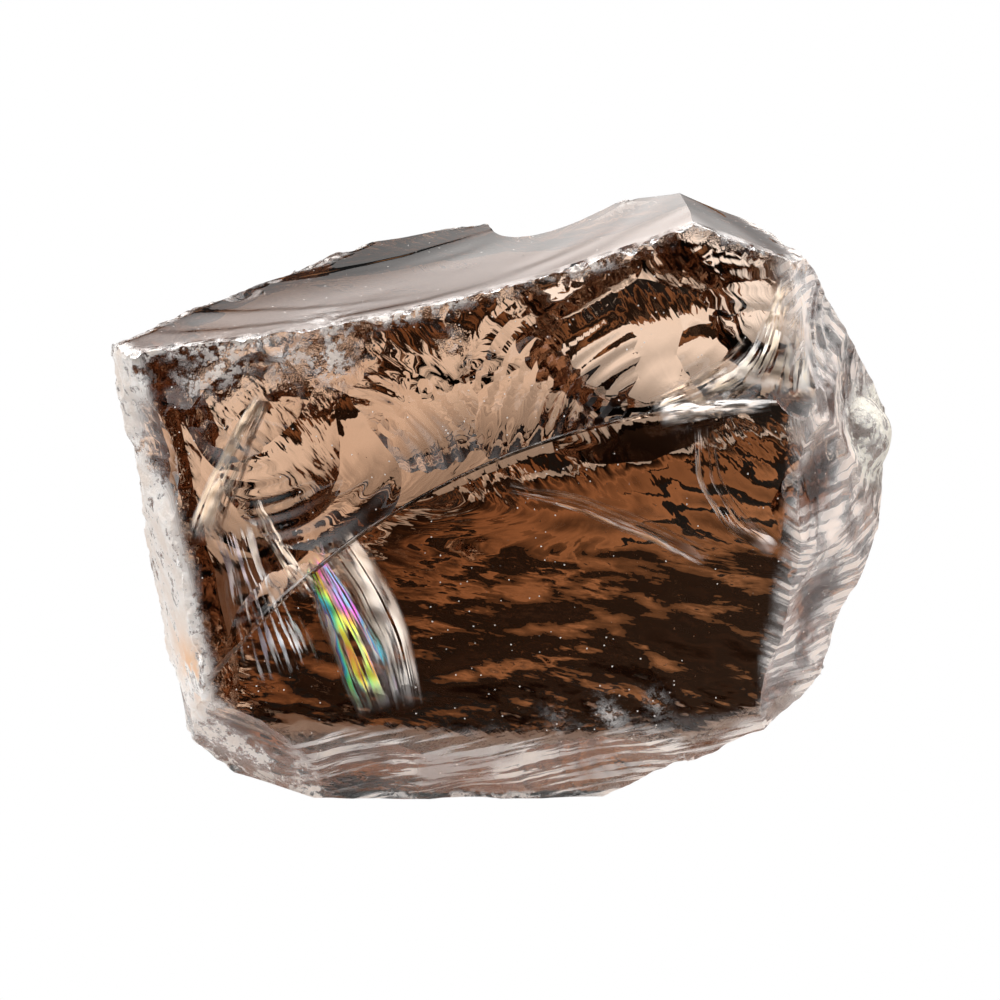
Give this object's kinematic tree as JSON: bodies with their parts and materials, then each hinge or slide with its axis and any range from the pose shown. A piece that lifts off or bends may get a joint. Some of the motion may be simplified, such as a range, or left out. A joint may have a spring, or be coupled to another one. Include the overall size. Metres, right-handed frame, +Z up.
{
  "type": "rough smoky quartz specimen",
  "caption": "Rough, see-through brown quartz lump, broken all over into hollow shell-like faces; stands on its flat underside as a display stone.",
  "frame": {"origin": "middle of the lump's box, on the plane of its flat underside", "axes": "+X along its length towards the rippled right end, +Y from the large clear front face to the back, +Z up"},
  "size_m": [0.06, 0.0308, 0.0477],
  "materials": {
    "quartz": "clear smoky brown crystal with glossy conchoidal fractures, white bruised edges and one chalky grey end"
  },
  "bodies": {
    "root": {"smoky_quartz": "quartz"}
  },
  "joints": []
}
